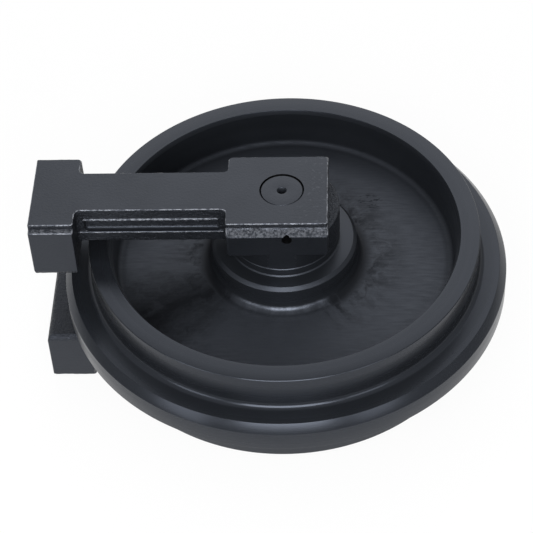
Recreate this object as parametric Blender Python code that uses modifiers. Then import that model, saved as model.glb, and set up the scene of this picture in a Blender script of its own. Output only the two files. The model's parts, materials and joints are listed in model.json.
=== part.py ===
"""Front idler of a tracked excavator: hollow flanged wheel on a fixed shaft between two cast brackets."""
import math

import bmesh
import bpy
from mathutils import Matrix, Vector

mm = 0.001

# Clearances
fit_gap = 0.3 * mm          # pieces that are pressed, screwed or rest on each other
running_gap = 0.3 * mm      # shaft in bush
end_play = 0.4 * mm         # bracket snout to bush flange
hub_gap = 2.0 * mm          # bracket boss to wheel hub, bridged by the seal rings
beyond = 5 * mm             # how far a cutter stands past the face it opens
touch = 0.001 * mm          # closer than this counts as the same place

# Wheel shells
tread_radius = 260 * mm
wheel_width = 149 * mm
tread_chamfer = 2 * mm
flange_radius = 297 * mm
flange_land = 28 * mm
flange_foot = 50 * mm
flange_bevel = 9 * mm
flange_fillet = 5 * mm
rim_mouth_radius = 234.6 * mm
rim_mouth_width = 2.8 * mm
rim_mouth_depth = 6 * mm
dish_radius = 226.5 * mm
dish_fillet = 8 * mm
web_foot_spread = 52 * mm   # outer faces of the two webs apart, at the hub
web_rim_spread = 36 * mm    # the same at the rim
web_wall = 14 * mm
flange_wall = 22 * mm
hub_boss_radius = 97 * mm
hub_boss_length = 126 * mm
hub_boss_chamfer = 4.6 * mm
hub_fillet = 8 * mm

# Hub sleeve
sleeve_radius = 72.9 * mm
sleeve_length = 151 * mm
sleeve_chamfer = 1 * mm
throat_radius = 46 * mm
oil_chamber_radius = 39 * mm
oil_chamber_length = 16 * mm

# Shaft and bushes
shaft_radius = 28.5 * mm
shaft_chamfer = 2 * mm
shaft_inset = 1 * mm         # shaft end below the outer face
bush_wall = 5 * mm
bush_length = 42 * mm
bush_flange_radius = 42 * mm
bush_flange_thickness = 4 * mm
centre_hole_radius = 6.5 * mm
centre_drill_radius = 2.5 * mm
centre_drill_depth = 16 * mm
oil_drill_radius = 4 * mm
oil_drill_offset = 16 * mm
cross_drill_radius = 3 * mm
plug_thread_radius = 8 * mm
plug_length = 14 * mm
plug_socket_radius = 4.6 * mm
plug_socket_depth = 7 * mm

# Floating seals
seal_seat_radius = 58 * mm
seal_seat_depth = 14.5 * mm
seal_ring_bore = 47 * mm
seal_ring_wall = 3.2 * mm
seal_ring_length = 13 * mm
seal_lip_radius = 54.5 * mm
seal_lip_thickness = 3.6 * mm

# Shaft seal rings in the bracket bores
o_ring_section = 1.55 * mm
o_ring_groove_depth = 3.4 * mm
o_ring_groove_width = 4.4 * mm
o_ring_inset = 42 * mm      # groove centre to shaft end

# Brackets
overall_height = 300 * mm
arm_depth = 57 * mm
arm_width = 69 * mm
pad_height = 7.5 * mm       # machined pads stand this far above the rough casting
head_pad_left = 71.6 * mm
head_pad_right = 59.8 * mm
head_pad_width = 124 * mm
head_body_left = 70.8 * mm
head_body_right = 60.4 * mm
head_body_width = 148 * mm
head_body_depth = 49 * mm
head_ledge_drop = 5.3 * mm
block_end = 327 * mm
block_pad_length = 58.6 * mm
block_pad_width = 122.5 * mm
block_body_length = 58 * mm
block_body_width = 136 * mm
block_depth = 87.5 * mm
block_ledge_drop = 1.4 * mm
block_edge_radius = 8 * mm
head_edge_radius = 5 * mm
head_corner_radius = 3 * mm
arm_root_fillet = 7 * mm
neck_fillet = 7 * mm
block_pad_corner = 3 * mm
head_pad_corner = 6 * mm
head_pad_front_corner = 3 * mm
boss_radius = 74.5 * mm
boss_top_inset = 28 * mm    # shoulder of the round boss below the outer face
boss_chamfer = 1.5 * mm
snout_stock = 2 * mm        # what the seat cutter turns off the stub
pocket_depth = 6 * mm
pocket_height = 21 * mm
pocket_end_inset = 11 * mm
pocket_corner = 4 * mm
pocket_floor_bevel = 2 * mm
shaft_bore_chamfer = 0.5 * mm
yoke_bolt_radius = 8.75 * mm
yoke_bolt_depth = 40 * mm
yoke_bolt_spread = 70 * mm
lock_pin_radius = 6.3 * mm
lock_pin_length = 118 * mm
lock_pin_chamfer = 1 * mm
lock_pin_offset = 7.5 * mm
lock_pin_inset = 18 * mm    # pin axis below the outer face
lock_pin_recess = 14 * mm   # pin end behind the bracket's side

# Facet counts
wheel_steps = 52
hub_steps = 36
small_steps = 28
toric_sides = 6
o_ring_sides = 5
hole_steps = 16

# Derived heights, measured from the wheel's middle plane
wheel_half = wheel_width / 2
sleeve_half = sleeve_length / 2
outer_face = overall_height / 2
boss_face = sleeve_half + hub_gap
seal_plane = sleeve_half + hub_gap / 2
shaft_half = outer_face - shaft_inset
bush_bore = shaft_radius + running_gap
bush_outer = bush_bore + bush_wall
hub_bore = bush_outer + fit_gap
bracket_bore = shaft_radius + fit_gap
chamber_half = oil_chamber_length / 2
bush_seat = chamber_half + bush_length
bush_flange_face = bush_seat + fit_gap + bush_flange_thickness
snout_end = bush_flange_face + end_play
snout_radius = bush_flange_radius
arm_bottom = outer_face - arm_depth
pad_foot = outer_face - pad_height
block_centre = outer_face - block_depth / 2
lock_pin_height = outer_face - lock_pin_inset
lock_pin_bore = lock_pin_radius + fit_gap
pocket_centre = outer_face - arm_depth / 2
axis_x = (block_end - flange_radius) / 2
axis_z = overall_height / 2


def clear_scene():
    for item in list(bpy.data.objects):
        bpy.data.objects.remove(item, do_unlink=True)


def new_collection(name):
    collection = bpy.data.collections.new(name)
    bpy.context.scene.collection.children.link(collection)
    return collection


def new_object(name, mesh, collection):
    item = bpy.data.objects.new(name, mesh)
    collection.objects.link(item)
    return item


def make_material(name, colour, roughness, metallic):
    material = bpy.data.materials.new(name)
    material.use_nodes = True
    shader = material.node_tree.nodes["Principled BSDF"]
    shader.inputs["Base Color"].default_value = (*colour, 1.0)
    shader.inputs["Roughness"].default_value = roughness
    shader.inputs["Metallic"].default_value = metallic
    return material


def arc_points(centre, radius, start, end, count):
    """Points on an arc, angles in degrees, both ends included."""
    points = []
    for i in range(count + 1):
        angle = math.radians(start + (end - start) * i / count)
        points.append((centre[0] + radius * math.cos(angle), centre[1] + radius * math.sin(angle)))
    return points


def turned(name, profile, steps, collection=None):
    """Turned about Z from (radius, height) points down the outer side; a solid body ends on the axis."""
    mesh = bpy.data.meshes.new(name)
    count = len(profile)
    solid = profile[0][0] == 0.0
    edges = [(i, (i + 1) % count) for i in range(count - 1 if solid else count)]
    mesh.from_pydata([(r, 0.0, z) for r, z in profile], edges, [])
    item = new_object(name, mesh, collection or parts)
    screw = item.modifiers.new("Turn", "SCREW")
    screw.use_merge_vertices = solid
    screw.steps = steps
    screw.render_steps = steps
    screw.merge_threshold = 0.00001
    screw.use_smooth_shade = True
    return item


def prism(name, outline, depth, collection, axis="Z"):
    """A flat outline extruded both ways by half its depth, as a mesh centred on its own plane."""
    curve = bpy.data.curves.new(name, "CURVE")
    curve.dimensions = "2D"
    curve.fill_mode = "BOTH"
    curve.extrude = depth / 2
    spline = curve.splines.new("POLY")
    spline.points.add(len(outline) - 1)
    for point, (u, v) in zip(spline.points, outline):
        point.co = (u, v, 0.0, 1.0)
    spline.use_cyclic_u = True
    holder = new_object(name + "_outline", curve, collection)
    if axis == "X":
        holder.matrix_world = Matrix(((0, 0, 1, 0), (1, 0, 0, 0), (0, 1, 0, 0), (0, 0, 0, 1)))
    bpy.context.view_layer.update()
    depsgraph = bpy.context.evaluated_depsgraph_get()
    mesh = bpy.data.meshes.new_from_object(holder.evaluated_get(depsgraph))
    work = bmesh.new()
    work.from_mesh(mesh)
    bmesh.ops.remove_doubles(work, verts=work.verts, dist=0.000001)
    bmesh.ops.dissolve_limit(work, angle_limit=math.radians(0.5), verts=work.verts, edges=work.edges)
    bmesh.ops.recalc_face_normals(work, faces=work.faces)
    work.to_mesh(mesh)
    work.free()
    item = new_object(name, mesh, collection)
    item.matrix_world = holder.matrix_world
    bpy.data.objects.remove(holder, do_unlink=True)
    return item


def box(name, low, high, collection):
    """A box between two corners."""
    mesh = bpy.data.meshes.new(name)
    work = bmesh.new()
    bmesh.ops.create_cube(work, size=1.0)
    size = Vector(high) - Vector(low)
    bmesh.ops.scale(work, vec=size, verts=work.verts)
    bmesh.ops.translate(work, vec=(Vector(low) + Vector(high)) / 2, verts=work.verts)
    work.to_mesh(mesh)
    work.free()
    return new_object(name, mesh, collection)


def rod(name, radius, start, end, steps, collection, end_radius=None):
    """A cylinder, or a cone when the end radius differs, between two points."""
    mesh = bpy.data.meshes.new(name)
    line = Vector(end) - Vector(start)
    work = bmesh.new()
    bmesh.ops.create_cone(work, cap_ends=True, segments=steps, radius1=radius,
                          radius2=radius if end_radius is None else end_radius, depth=line.length)
    turn = line.to_track_quat("Z", "Y").to_matrix().to_4x4()
    bmesh.ops.transform(work, matrix=Matrix.Translation(Vector(start) + line / 2) @ turn, verts=work.verts)
    work.to_mesh(mesh)
    work.free()
    return new_object(name, mesh, collection)


def bevel_edges(item, chosen, width, segments):
    """Rounds the edges that the test picks, given each edge's two ends."""
    work = bmesh.new()
    work.from_mesh(item.data)
    edges = [e for e in work.edges if chosen(e.verts[0].co, e.verts[1].co)]
    bmesh.ops.bevel(work, geom=edges, offset=width, offset_type="OFFSET", segments=segments,
                    profile=0.5, affect="EDGES", clamp_overlap=True)
    work.to_mesh(item.data)
    work.free()


def combine(item, other, operation):
    modifier = item.modifiers.new(operation.title(), "BOOLEAN")
    modifier.operation = operation
    modifier.solver = "EXACT"
    modifier.object = other
    other.hide_render = True
    other.display_type = "WIRE"


def settle(item, height=0.0):
    """Keeps the evaluated shape as the object's mesh, with the origin on the axis at this height."""
    bpy.context.view_layer.update()
    depsgraph = bpy.context.evaluated_depsgraph_get()
    mesh = bpy.data.meshes.new_from_object(item.evaluated_get(depsgraph))
    item.modifiers.clear()
    mesh.transform(Matrix.Translation((0, 0, -height)))
    mesh.name = item.name
    item.data = mesh
    item.location = (0, 0, height)


def shade(item, angle):
    item.data.shade_smooth()
    item.data.set_sharp_from_angle(angle=math.radians(angle))


def dress(item, material, carrier):
    item.data.materials.clear()
    item.data.materials.append(material)
    item.parent = carrier


def twin(item, name):
    """The same piece turned half a turn about X, for the other side of the middle plane."""
    copy = new_object(name, item.data, parts)
    copy.parent = item.parent
    copy.location = (item.location.x, -item.location.y, -item.location.z)
    copy.rotation_euler = (math.pi, 0, 0)
    return copy


def shell_profile():
    """Half of the hollow wheel: hub ring, dished web, rim, tread and half of the guide flange."""
    web_foot = web_foot_spread / 2
    web_rim = web_rim_spread / 2
    boss_half = hub_boss_length / 2
    bore = sleeve_radius + fit_gap
    foot = flange_foot / 2
    points = [(bore, boss_half), (hub_boss_radius - hub_boss_chamfer, boss_half)]
    points.append((hub_boss_radius, boss_half - hub_boss_chamfer))
    points += arc_points((hub_boss_radius + hub_fillet, web_foot + hub_fillet), hub_fillet, 180, 270, 3)
    points += arc_points((dish_radius - dish_fillet, web_rim + dish_fillet), dish_fillet, -90, 0, 3)
    points.append((rim_mouth_radius - rim_mouth_width, wheel_half - rim_mouth_depth))
    points.append((rim_mouth_radius, wheel_half))
    points += [(tread_radius - tread_chamfer, wheel_half), (tread_radius, wheel_half - tread_chamfer)]
    points += arc_points((tread_radius + flange_fillet, foot + flange_fillet), flange_fillet, 180, 270, 2)
    points.append((flange_radius - flange_bevel, foot))
    points += [(flange_radius, flange_land / 2), (flange_radius, fit_gap / 2)]
    points += [(flange_radius - flange_wall, fit_gap / 2), (tread_radius + flange_fillet, web_rim - web_wall)]
    points += [(dish_radius, web_rim - web_wall), (hub_boss_radius, web_foot - web_wall)]
    points.append((bore, web_foot - web_wall))
    return points


def make_wheel_shell():
    shell = turned("wheel_shell_upper", shell_profile(), wheel_steps)
    settle(shell)
    shade(shell, 25)
    dress(shell, black_paint, wheel_axis)
    twin(shell, "wheel_shell_lower")


def make_wheel_hub():
    """Turned sleeve that carries the shells outside, the bushes and the rotating seal halves inside."""
    seat_floor = sleeve_half - seal_seat_depth
    upper = [(seal_seat_radius, sleeve_half), (sleeve_radius - sleeve_chamfer, sleeve_half)]
    upper.append((sleeve_radius, sleeve_half - sleeve_chamfer))
    inner = [(hub_bore, chamber_half), (hub_bore, bush_seat), (throat_radius, bush_seat)]
    inner += [(throat_radius, seat_floor), (seal_seat_radius, seat_floor)]
    lower = [(r, -z) for r, z in reversed(upper)]
    profile = upper + lower
    profile += [(r, -z) for r, z in reversed(inner)]
    profile += [(oil_chamber_radius, -chamber_half), (oil_chamber_radius, chamber_half)]
    profile += inner
    hub = turned("wheel_hub", profile, hub_steps)
    settle(hub)
    shade(hub, 30)
    dress(hub, black_paint, wheel_axis)


def make_bush():
    flange_foot_height = bush_seat + fit_gap
    profile = [(bush_bore, bush_flange_face), (bush_flange_radius, bush_flange_face)]
    profile += [(bush_flange_radius, flange_foot_height), (bush_outer, flange_foot_height)]
    profile += [(bush_outer, chamber_half), (bush_bore, chamber_half)]
    bush = turned("bush_upper", profile, small_steps)
    settle(bush, bush_seat)
    shade(bush, 30)
    dress(bush, bronze, wheel_axis)
    twin(bush, "bush_lower")


def make_seal_rings():
    """Metal rings that meet face to face: one turns with the hub, one stands in the bracket."""
    body_radius = seal_ring_bore + seal_ring_wall
    face = fit_gap / 2
    back = seal_ring_length
    lip = face + seal_lip_thickness
    profile = [(seal_ring_bore, -face), (seal_lip_radius, -face), (seal_lip_radius, -lip)]
    profile += [(body_radius, -lip), (body_radius, -back), (seal_ring_bore, -back)]
    turning = turned("seal_ring_turning_upper", profile, small_steps)
    settle(turning)
    turning.location.z = seal_plane
    shade(turning, 30)
    dress(turning, seal_iron, wheel_axis)
    twin(turning, "seal_ring_turning_lower")
    fixed = new_object("seal_ring_fixed_upper", turning.data, parts)
    fixed.location.z = seal_plane
    fixed.rotation_euler = (math.pi, 0, 0)
    fixed.parent = frame_axis
    other = new_object("seal_ring_fixed_lower", turning.data, parts)
    other.location.z = -seal_plane
    other.parent = frame_axis


def make_ring(name, ring_radius, section, height, sides, material, carrier):
    bpy.ops.mesh.primitive_torus_add(major_radius=ring_radius, minor_radius=section,
                                     major_segments=small_steps, minor_segments=sides)
    ring = bpy.context.active_object
    for collection in list(ring.users_collection):
        collection.objects.unlink(ring)
    parts.objects.link(ring)
    ring.name = name
    ring.data.name = name
    ring.location = (0, 0, height)
    shade(ring, 60)
    dress(ring, material, carrier)
    return ring


def make_seal_torics():
    """Rubber rings that press each metal ring against its partner."""
    body_radius = seal_ring_bore + seal_ring_wall
    section = (seal_seat_radius - body_radius) / 2 - fit_gap
    radius = (seal_seat_radius + body_radius) / 2
    reach = fit_gap / 2 + seal_lip_thickness + fit_gap + section
    low, high = seal_plane - reach, seal_plane + reach
    turning = make_ring("seal_toric_turning_upper", radius, section, low, toric_sides, rubber, wheel_axis)
    twin(turning, "seal_toric_turning_lower")
    fixed = make_ring("seal_toric_fixed_upper", radius, section, high, toric_sides, rubber, frame_axis)
    twin(fixed, "seal_toric_fixed_lower")


def make_shaft_o_rings():
    radius = shaft_radius - o_ring_groove_depth / 2 + fit_gap / 2
    height = shaft_half - o_ring_inset
    ring = make_ring("shaft_o_ring_upper", radius, o_ring_section, height, o_ring_sides, rubber, frame_axis)
    twin(ring, "shaft_o_ring_lower")


def shaft_end_profile():
    """Upper end of the shaft: lathe centre with a short drill point, chamfered rim, seal ring groove."""
    cone_depth = (centre_hole_radius - centre_drill_radius) * math.sqrt(3)
    drill_floor = shaft_half - centre_drill_depth
    groove_high = shaft_half - o_ring_inset + o_ring_groove_width / 2
    groove_low = groove_high - o_ring_groove_width
    groove_floor = shaft_radius - o_ring_groove_depth
    points = [(0.0, drill_floor - centre_drill_radius / 2), (centre_drill_radius, drill_floor)]
    points += [(centre_drill_radius, shaft_half - cone_depth), (centre_hole_radius, shaft_half)]
    points += [(shaft_radius - shaft_chamfer, shaft_half), (shaft_radius, shaft_half - shaft_chamfer)]
    points += [(shaft_radius, groove_high), (groove_floor, groove_high)]
    return points + [(groove_floor, groove_low), (shaft_radius, groove_low)]


def oil_drilling_cutter():
    """Threaded mouth and oil drilling beside the shaft's axis, up to the oil chamber."""
    mouth = -shaft_half - beyond
    thread_radius = plug_thread_radius + fit_gap
    thread_end = -shaft_half + plug_length + fit_gap
    profile = [(0.0, 0.0), (oil_drill_radius, -oil_drill_radius / 2), (oil_drill_radius, thread_end)]
    profile += [(thread_radius, thread_end), (thread_radius, mouth), (0.0, mouth)]
    cutter = turned("oil_drilling", profile, hole_steps, cutters)
    cutter.location.x = -oil_drill_offset
    return cutter


def make_shaft():
    """Fixed shaft with a lathe centre in each end and the oil filling hole in the lower one."""
    upper = shaft_end_profile()
    lower = [(r, -z) for r, z in reversed(upper)]
    shaft = turned("shaft", upper + lower, small_steps)
    cross_reach = shaft_radius + beyond
    cross_low = -cross_drill_radius * 2
    combine(shaft, oil_drilling_cutter(), "DIFFERENCE")
    cross = rod("cross_drill", cross_drill_radius, (-cross_reach, 0, cross_low),
                (-oil_drill_offset, 0, cross_low), hole_steps, cutters)
    combine(shaft, cross, "DIFFERENCE")
    for side, label in ((1, "upper"), (-1, "lower")):
        pin_z = side * lock_pin_height
        pin = rod("shaft_pin_hole_" + label, lock_pin_bore, (lock_pin_offset, -cross_reach, pin_z),
                  (lock_pin_offset, cross_reach, pin_z), hole_steps, cutters)
        combine(shaft, pin, "DIFFERENCE")
    settle(shaft)
    shade(shaft, 30)
    dress(shaft, black_shaft, frame_axis)


def make_oil_plug():
    plug = rod("oil_plug", plug_thread_radius, (0, 0, 0), (0, 0, plug_length), hole_steps, parts)
    socket = rod("plug_socket", plug_socket_radius, (0, 0, -beyond), (0, 0, plug_socket_depth), 6, cutters)
    combine(plug, socket, "DIFFERENCE")
    settle(plug)
    plug.location = (-oil_drill_offset, 0, -shaft_half)
    shade(plug, 30)
    dress(plug, zinc, frame_axis)


def make_lock_pin():
    start = (0, -head_body_width / 2 + lock_pin_recess, 0)
    end = (0, start[1] + lock_pin_length, 0)
    pin = rod("lock_pin_upper", lock_pin_radius, start, end, hole_steps, parts)
    bevel_edges(pin, lambda a, b: abs(a.y - b.y) < touch, lock_pin_chamfer, 1)
    pin.location = (lock_pin_offset, 0, lock_pin_height)
    shade(pin, 30)
    dress(pin, pin_steel, frame_axis)
    twin(pin, "lock_pin_lower")


def outline_side(corner):
    """One side of the outer face in plan, from the end block along the arm to the head's far end."""
    half_arm = arm_width / 2
    half_block = block_pad_width / 2
    half_head = head_pad_width / 2
    root = -block_end + block_pad_length
    neck = -head_pad_left
    small = block_pad_corner
    side = [(-block_end, half_block)]
    side += arc_points((root - small, half_block - small), small, 90, 0, 2)
    side += arc_points((root + arm_root_fillet, half_arm + arm_root_fillet), arm_root_fillet, 180, 270, 3)
    side += arc_points((neck - neck_fillet, half_arm + neck_fillet), neck_fillet, -90, 0, 3)
    side += arc_points((neck + corner, half_head - corner), corner, 180, 90, 3)
    side += arc_points((head_pad_right - corner, half_head - corner), corner, 90, 0, 3)
    return side


def bracket_outline():
    """Outer face in plan; only the head's corners differ from front to back."""
    back = outline_side(head_pad_corner)
    front = [(x, -y) for x, y in reversed(outline_side(head_pad_front_corner))]
    return back + front


def ledge_section(body_width, pad_width, bottom, drop):
    """Cross-section of a cast body below its machined pad, with a sloping ledge on both sides."""
    half = body_width / 2
    ledge = pad_width / 2
    points = [(-half, bottom), (half, bottom), (half, pad_foot - drop), (ledge, pad_foot)]
    return points + [(-ledge, pad_foot), (-half, pad_foot - drop)]


def cast_body(name, section, left, right):
    """A cross-section carried along X from one place to another."""
    body = prism(name, section, right - left, cutters, "X")
    body.data.transform(Matrix.Translation(((left + right) / 2, 0, 0)) @ body.matrix_world)
    body.matrix_world = Matrix.Identity(4)
    return body


def make_block_body():
    bottom = outer_face - block_depth
    section = ledge_section(block_body_width, block_pad_width, bottom, block_ledge_drop)
    block = cast_body("block_body", section, -block_end, -block_end + block_body_length)
    bevel_edges(block, lambda a, b: max(a.z, b.z) < bottom + touch, block_edge_radius, 3)
    return block


def make_head_body():
    bottom = outer_face - head_body_depth
    side = head_body_width / 2 - touch
    section = ledge_section(head_body_width, head_pad_width, bottom, head_ledge_drop)
    head = cast_body("head_body", section, -head_body_left, head_body_right)
    bevel_edges(head, lambda a, b: max(a.z, b.z) < bottom + touch, head_edge_radius, 2)
    bevel_edges(head, lambda a, b: min(abs(a.y), abs(b.y)) > side and abs(a.x - b.x) < touch,
                head_corner_radius, 2)
    return head


def make_boss():
    """Round boss with a stub for its snout, cut to size later: the stub's end is the thrust face."""
    top = outer_face - boss_top_inset
    profile = [(bracket_bore / 2, top), (boss_radius - boss_chamfer, top), (boss_radius, top - boss_chamfer)]
    profile += [(boss_radius, boss_face + boss_chamfer), (boss_radius - boss_chamfer, boss_face)]
    stub = snout_radius + snout_stock
    profile += [(stub, boss_face), (stub, snout_end), (bracket_bore / 2, snout_end)]
    boss = turned("boss", profile, hub_steps, cutters)
    boss.rotation_euler.z = math.pi / hub_steps     # half a step, so the cutters cross its facets cleanly
    return boss


def seal_seat_cutter():
    """Turns the snout and the ring-shaped seat for the standing seal half."""
    floor = boss_face + seal_seat_depth
    mouth = snout_end - beyond
    profile = [(snout_radius, floor), (seal_seat_radius, floor)]
    profile += [(seal_seat_radius, mouth), (snout_radius, mouth)]
    return turned("seal_seat", profile, hub_steps, cutters)


def pocket_cutter(side):
    inner = side * (arm_width / 2 - pocket_depth)
    outer = side * (arm_width / 2 + pocket_depth)
    left = -block_end + block_body_length + pocket_end_inset
    right = -head_body_left - pocket_end_inset
    low_z = pocket_centre - pocket_height / 2
    high_z = pocket_centre + pocket_height / 2
    label = "pocket_front" if side < 0 else "pocket_back"
    cutter = box(label, (left, min(inner, outer), low_z), (right, max(inner, outer), high_z), cutters)
    deep = abs(inner) + touch
    bevel_edges(cutter, lambda a, b: abs(a.y - b.y) > touch, pocket_corner, 2)
    bevel_edges(cutter, lambda a, b: max(abs(a.y), abs(b.y)) < deep, pocket_floor_bevel, 1)
    return cutter


def make_bracket():
    """Cast bracket: machined outer pad, ribbed arm, end block for the recoil yoke and a round seal boss."""
    bracket = prism("bracket_upper", bracket_outline(), arm_depth, parts)
    bracket.data.transform(Matrix.Translation((0, 0, arm_bottom + arm_depth / 2)))
    for body in (make_block_body(), make_head_body(), make_boss()):
        combine(bracket, body, "UNION")
    mouth = bracket_bore + shaft_bore_chamfer
    bore = [(0.0, outer_face + beyond), (mouth, outer_face + beyond), (mouth, outer_face)]
    bore += [(bracket_bore, outer_face - shaft_bore_chamfer), (bracket_bore, snout_end - beyond)]
    bore.append((0.0, snout_end - beyond))
    pin_start = (lock_pin_offset, -head_body_width / 2 - beyond, lock_pin_height)
    pin_stop = -head_body_width / 2 + lock_pin_recess + lock_pin_length + fit_gap
    pin_end = (lock_pin_offset, pin_stop, lock_pin_height)
    pin = rod("bracket_pin_hole", lock_pin_bore, pin_start, pin_end, hole_steps, cutters)
    tools = [seal_seat_cutter(), turned("shaft_bore", bore, small_steps, cutters), pin]
    tools += [pocket_cutter(-1), pocket_cutter(1)]
    for side in (-1, 1):
        y = side * yoke_bolt_spread / 2
        tools.append(rod("yoke_bolt_hole", yoke_bolt_radius, (-block_end - beyond, y, block_centre),
                         (-block_end + yoke_bolt_depth, y, block_centre), hole_steps, cutters))
    for tool in tools:
        combine(bracket, tool, "DIFFERENCE")
    settle(bracket, outer_face)
    shade(bracket, 30)
    dress(bracket, black_casting, frame_axis)
    twin(bracket, "bracket_lower")


clear_scene()
parts = new_collection("front_idler")
cutters = new_collection("cutters")
black_paint = make_material("black_paint", (0.018, 0.019, 0.022), 0.38, 0.0)
black_casting = make_material("black_casting", (0.020, 0.021, 0.024), 0.55, 0.0)
black_shaft = make_material("black_shaft", (0.020, 0.021, 0.023), 0.35, 0.0)
pin_steel = make_material("pin_steel", (0.28, 0.28, 0.28), 0.35, 1.0)
bronze = make_material("bronze", (0.55, 0.36, 0.15), 0.35, 1.0)
seal_iron = make_material("seal_iron", (0.32, 0.32, 0.33), 0.3, 1.0)
rubber = make_material("rubber", (0.012, 0.012, 0.012), 0.75, 0.0)
zinc = make_material("zinc", (0.45, 0.45, 0.43), 0.4, 1.0)

frame_axis = new_object("frame_axis", None, parts)
frame_axis.location = (axis_x, 0, axis_z)
wheel_axis = new_object("wheel_axis", None, parts)
wheel_axis.parent = frame_axis

make_bracket()
make_shaft()
make_oil_plug()
make_lock_pin()
make_wheel_shell()
make_wheel_hub()
make_bush()
make_seal_rings()
make_seal_torics()
make_shaft_o_rings()
for cutter in cutters.objects:
    cutter.hide_render = True
    cutter.display_type = "WIRE"
print("front idler:", len([item for item in parts.objects if item.type == "MESH"]), "solid pieces")
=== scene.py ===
import json
import math

import bmesh
import bpy
from mathutils import Matrix, Vector

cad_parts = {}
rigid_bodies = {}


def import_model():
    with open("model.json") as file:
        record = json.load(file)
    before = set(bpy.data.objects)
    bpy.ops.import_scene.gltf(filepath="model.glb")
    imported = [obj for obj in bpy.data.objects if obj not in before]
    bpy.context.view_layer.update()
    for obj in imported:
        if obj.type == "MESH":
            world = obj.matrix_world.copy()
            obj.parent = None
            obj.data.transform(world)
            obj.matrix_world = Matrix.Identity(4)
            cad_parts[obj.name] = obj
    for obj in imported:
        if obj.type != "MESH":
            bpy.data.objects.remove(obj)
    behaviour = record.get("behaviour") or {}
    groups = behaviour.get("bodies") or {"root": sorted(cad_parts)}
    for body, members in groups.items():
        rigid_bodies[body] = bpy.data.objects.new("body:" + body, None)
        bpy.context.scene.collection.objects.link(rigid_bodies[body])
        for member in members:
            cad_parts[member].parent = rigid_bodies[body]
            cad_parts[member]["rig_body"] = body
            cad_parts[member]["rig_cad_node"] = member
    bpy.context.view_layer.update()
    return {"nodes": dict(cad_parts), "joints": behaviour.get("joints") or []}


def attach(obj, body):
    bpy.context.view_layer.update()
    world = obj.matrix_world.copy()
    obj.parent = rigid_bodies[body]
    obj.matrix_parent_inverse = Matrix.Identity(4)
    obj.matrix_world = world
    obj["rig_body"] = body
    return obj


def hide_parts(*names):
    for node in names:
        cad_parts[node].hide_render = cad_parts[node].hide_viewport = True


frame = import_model()

# Where the wheel turns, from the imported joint
wheelMiddle = tuple(frame["joints"][0]["pos_m"])
axisX, axisY, midZ = wheelMiddle

mm = 0.001
arcStep = math.radians(15)  # a rounded corner gets a point at least this often
roundAngle = math.radians(32)  # turned pieces are shaded smooth up to this angle
mergeDistance = 0.01 * mm
toolMargin = 5  # how far a cutting tool reaches past the face it cuts, in millimetres


# Small helpers

def deselectAll():
    bpy.ops.object.select_all(action="DESELECT")


def selectOnly(obj):
    deselectAll()
    obj.select_set(True)
    bpy.context.view_layer.objects.active = obj


def applyModifiers(obj):
    selectOnly(obj)
    for modifier in list(obj.modifiers):
        bpy.ops.object.modifier_apply(modifier=modifier.name)


def arcBetween(corner, before, after, radius):
    # Points that round one corner of an outline with a true arc
    toBefore = (before - corner).normalized()
    toAfter = (after - corner).normalized()
    turn = toBefore.angle(toAfter)
    reach = radius / math.tan(turn / 2)
    centre = corner + (toBefore + toAfter).normalized() * (radius / math.sin(turn / 2))
    start = corner + toBefore * reach - centre
    end = corner + toAfter * reach - centre
    sweep = start.angle_signed(end)
    count = max(2, math.ceil(abs(sweep) / arcStep))
    points = []
    for i in range(count + 1):
        points.append(centre + Matrix.Rotation(-sweep * i / count, 2) @ start)
    return points


def roundedOutline(corners):
    # corners are (radius from the axis, height, rounding), all in millimetres
    points = []
    count = len(corners)
    for i, (r, z, rounding) in enumerate(corners):
        here = Vector((r, z))
        if rounding == 0:
            points.append(here)
            continue
        before = Vector(corners[i - 1][:2])
        after = Vector(corners[(i + 1) % count][:2])
        points += arcBetween(here, before, after, rounding)
    return points


def turnPiece(name, corners, steps, closed=True):
    # One outline drawn by extruding a single vertex, then spun about the wheel's axis;
    # an open outline starts and ends on that axis
    outline = [Vector((axisX + p.x * mm, axisY, midZ + p.y * mm)) for p in roundedOutline(corners)]
    deselectAll()
    bpy.ops.mesh.primitive_plane_add(size=mm, location=outline[0])
    piece = bpy.context.object
    piece.name = name
    bpy.ops.object.mode_set(mode="EDIT")
    bpy.ops.mesh.select_all(action="SELECT")
    bpy.ops.mesh.merge(type="CENTER")
    ahead = outline[1:] + outline[:1] if closed else outline[1:]
    for here, there in zip(outline, ahead):
        bpy.ops.mesh.extrude_region_move(TRANSFORM_OT_translate={"value": there - here})
    bpy.ops.mesh.select_all(action="SELECT")
    bpy.ops.mesh.remove_doubles(threshold=mergeDistance)
    bpy.ops.mesh.spin(steps=steps, angle=2 * math.pi, center=wheelMiddle, axis=(0, 0, 1))
    bpy.ops.mesh.select_all(action="SELECT")
    bpy.ops.mesh.remove_doubles(threshold=mergeDistance)
    bpy.ops.mesh.normals_make_consistent(inside=False)
    bpy.ops.object.mode_set(mode="OBJECT")
    bpy.ops.object.transform_apply(location=True, rotation=True, scale=True)
    bpy.ops.object.shade_smooth_by_angle(angle=roundAngle)
    return piece


def turnedOver(piece, name):
    # A second piece, the first one turned half a turn about the X line through the wheel's middle
    selectOnly(piece)
    bpy.ops.object.duplicate()
    copy = bpy.context.object
    copy.name = name
    middle = Vector(wheelMiddle)
    flip = Matrix.Translation(middle) @ Matrix.Rotation(math.pi, 4, "X") @ Matrix.Translation(-middle)
    copy.matrix_world = flip @ copy.matrix_world
    bpy.ops.object.transform_apply(location=True, rotation=True, scale=True)
    return copy


def dressPiece(piece, material, body, node):
    piece.data.materials.clear()
    piece.data.materials.append(material)
    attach(piece, body)
    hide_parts(node)


# Materials

paintTint = (0.74, 0.82, 1)


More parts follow.
